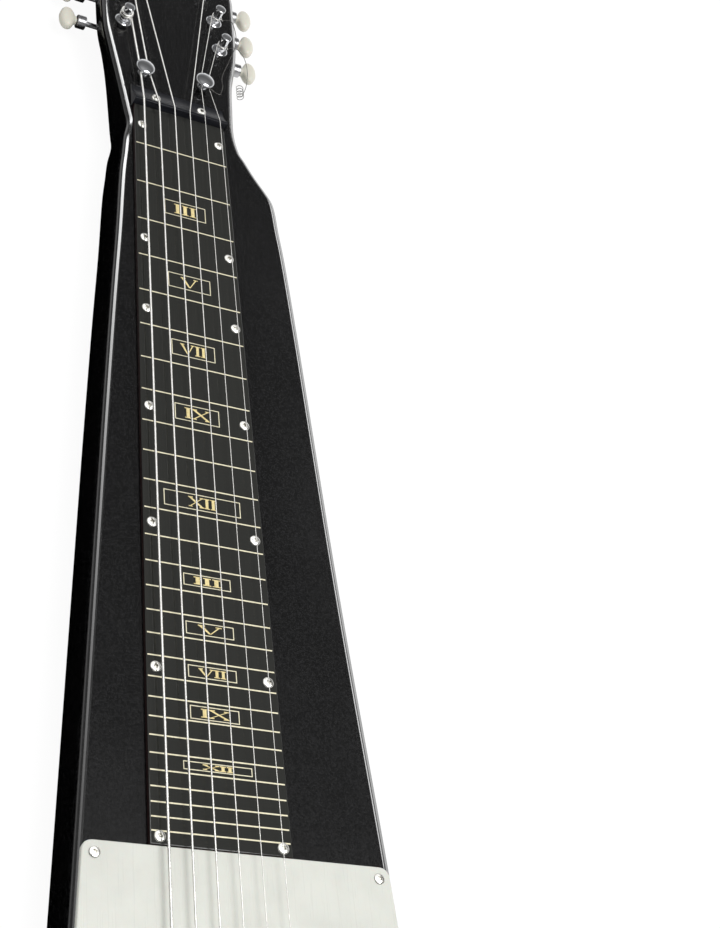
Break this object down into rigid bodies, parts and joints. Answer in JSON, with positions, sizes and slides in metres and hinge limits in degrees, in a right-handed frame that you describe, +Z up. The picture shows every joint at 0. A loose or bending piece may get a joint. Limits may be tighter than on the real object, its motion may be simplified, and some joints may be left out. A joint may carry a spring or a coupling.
{
  "type": "lap steel guitar",
  "caption": "Six-string lap steel guitar lying on its back, with a tapered black body, printed fret lines, open-gear tuners, pickup, bridge, knobs and jack.",
  "frame": {"origin": "centre of the whole part's footprint, at the flat back that it lies on", "axes": "+X along the strings from the headstock to the tail, +Y towards the thin strings, +Z up out of the fretboard"},
  "size_m": [0.792, 0.181, 0.0485],
  "materials": {
    "lacquered_wood": "black gloss lacquer over solid wood",
    "gloss_black_board": "black gloss laminate with printed cream lines",
    "black_plastic": "satin black moulding",
    "cream_plastic": "cream satin plastic",
    "chromed_metal": "bright chrome plate",
    "plain_steel": "plain machined steel",
    "string_steel": "nickel-plated steel wire",
    "brass_shaft": "turned brass",
    "magnet_and_poles": "bare magnet steel",
    "enamelled_copper": "enamelled copper wire, seen as one winding"
  },
  "bodies": {
    "guitar": {"body": "lacquered_wood", "fretboard": "gloss_black_board", "fretboard_screw_1": "chromed_metal", "fretboard_screw_2": "chromed_metal", "fretboard_screw_3": "chromed_metal", "fretboard_screw_4": "chromed_metal", "fretboard_screw_5": "chromed_metal", "fretboard_screw_6": "chromed_metal", "fretboard_screw_7": "chromed_metal", "fretboard_screw_8": "chromed_metal", "fretboard_screw_9": "chromed_metal", "fretboard_screw_10": "chromed_metal", "fretboard_screw_11": "chromed_metal", "fretboard_screw_12": "chromed_metal", "fretboard_screw_13": "chromed_metal", "fretboard_screw_14": "chromed_metal", "string_1": "string_steel", "string_2": "string_steel", "string_3": "string_steel", "string_4": "string_steel", "string_5": "string_steel", "string_6": "string_steel", "nut": "black_plastic", "nut_screw_bass": "chromed_metal", "nut_screw_treble": "chromed_metal", "string_retainer_treble": "chromed_metal", "string_retainer_bass": "chromed_metal", "control_plate": "cream_plastic", "bridge_base": "chromed_metal", "bridge_saddle": "plain_steel", "pickup_cover": "black_plastic", "pickup_magnet_poles": "magnet_and_poles", "pickup_coil": "enamelled_copper", "volume_pot": "plain_steel", "tone_pot": "plain_steel", "output_jack": "chromed_metal", "tuner_plate_treble": "chromed_metal", "tuner_plate_bass": "chromed_metal"},
    "tuner_key_1": {"tuner_worm_1": "plain_steel", "tuner_button_1": "cream_plastic"},
    "tuner_string_post_1": {"tuner_post_1": "chromed_metal"},
    "tuner_key_2": {"tuner_worm_2": "plain_steel", "tuner_button_2": "cream_plastic"},
    "tuner_string_post_2": {"tuner_post_2": "chromed_metal"},
    "tuner_key_3": {"tuner_worm_3": "plain_steel", "tuner_button_3": "cream_plastic"},
    "tuner_string_post_3": {"tuner_post_3": "chromed_metal"},
    "tuner_key_4": {"tuner_worm_4": "plain_steel", "tuner_button_4": "cream_plastic"},
    "tuner_string_post_4": {"tuner_post_4": "chromed_metal"},
    "tuner_key_5": {"tuner_worm_5": "plain_steel", "tuner_button_5": "cream_plastic"},
    "tuner_string_post_5": {"tuner_post_5": "chromed_metal"},
    "tuner_key_6": {"tuner_worm_6": "plain_steel", "tuner_button_6": "cream_plastic"},
    "tuner_string_post_6": {"tuner_post_6": "chromed_metal"},
    "volume_control": {"volume_knob": "chromed_metal", "volume_pot_shaft": "brass_shaft"},
    "tone_control": {"tone_knob": "chromed_metal", "tone_pot_shaft": "brass_shaft"}
  },
  "joints": [
    {"name": "tuner_key_1_turn", "type": "hinge", "parent": "guitar", "child": "tuner_key_1", "pos_m": [-0.33345, 0.023, 0.01155], "axis": [0, 1, 0], "continuous": true},
    {"name": "tuner_key_2_turn", "type": "hinge", "parent": "guitar", "child": "tuner_key_2", "pos_m": [-0.35845, 0.0205, 0.01155], "axis": [0, 1, 0], "continuous": true},
    {"name": "tuner_key_3_turn", "type": "hinge", "parent": "guitar", "child": "tuner_key_3", "pos_m": [-0.38345, 0.017, 0.01155], "axis": [0, 1, 0], "continuous": true},
    {"name": "tuner_key_4_turn", "type": "hinge", "parent": "guitar", "child": "tuner_key_4", "pos_m": [-0.38345, -0.0355, 0.01155], "axis": [0, -1, 0], "continuous": true},
    {"name": "tuner_key_5_turn", "type": "hinge", "parent": "guitar", "child": "tuner_key_5", "pos_m": [-0.35845, -0.039, 0.01155], "axis": [0, -1, 0], "continuous": true},
    {"name": "tuner_key_6_turn", "type": "hinge", "parent": "guitar", "child": "tuner_key_6", "pos_m": [-0.33345, -0.0415, 0.01155], "axis": [0, -1, 0], "continuous": true},
    {"name": "tuner_post_1_turn", "type": "hinge", "parent": "guitar", "child": "tuner_string_post_1", "pos_m": [-0.324, 0.023, 0.031], "axis": [0, 0, 1], "continuous": true},
    {"name": "tuner_post_2_turn", "type": "hinge", "parent": "guitar", "child": "tuner_string_post_2", "pos_m": [-0.349, 0.0205, 0.031], "axis": [0, 0, 1], "continuous": true},
    {"name": "tuner_post_3_turn", "type": "hinge", "parent": "guitar", "child": "tuner_string_post_3", "pos_m": [-0.374, 0.017, 0.031], "axis": [0, 0, 1], "continuous": true},
    {"name": "tuner_post_4_turn", "type": "hinge", "parent": "guitar", "child": "tuner_string_post_4", "pos_m": [-0.374, -0.0355, 0.031], "axis": [0, 0, 1], "continuous": true},
    {"name": "tuner_post_5_turn", "type": "hinge", "parent": "guitar", "child": "tuner_string_post_5", "pos_m": [-0.349, -0.039, 0.031], "axis": [0, 0, 1], "continuous": true},
    {"name": "tuner_post_6_turn", "type": "hinge", "parent": "guitar", "child": "tuner_string_post_6", "pos_m": [-0.324, -0.0415, 0.031], "axis": [0, 0, 1], "continuous": true},
    {"name": "volume_turn", "type": "hinge", "parent": "guitar", "child": "volume_control", "pos_m": [0.2575, 0.0535, 0.0335], "axis": [0, 0, 1], "range_deg": [-145, 145]},
    {"name": "tone_turn", "type": "hinge", "parent": "guitar", "child": "tone_control", "pos_m": [0.2995, 0.0535, 0.0335], "axis": [0, 0, 1], "range_deg": [-145, 145]}
  ],
  "couplings": [
    {"joint": "tuner_post_1_turn", "follows": "tuner_key_1_turn", "ratio": 0.071429},
    {"joint": "tuner_post_2_turn", "follows": "tuner_key_2_turn", "ratio": 0.071429},
    {"joint": "tuner_post_3_turn", "follows": "tuner_key_3_turn", "ratio": 0.071429},
    {"joint": "tuner_post_4_turn", "follows": "tuner_key_4_turn", "ratio": 0.071429},
    {"joint": "tuner_post_5_turn", "follows": "tuner_key_5_turn", "ratio": 0.071429},
    {"joint": "tuner_post_6_turn", "follows": "tuner_key_6_turn", "ratio": 0.071429}
  ]
}
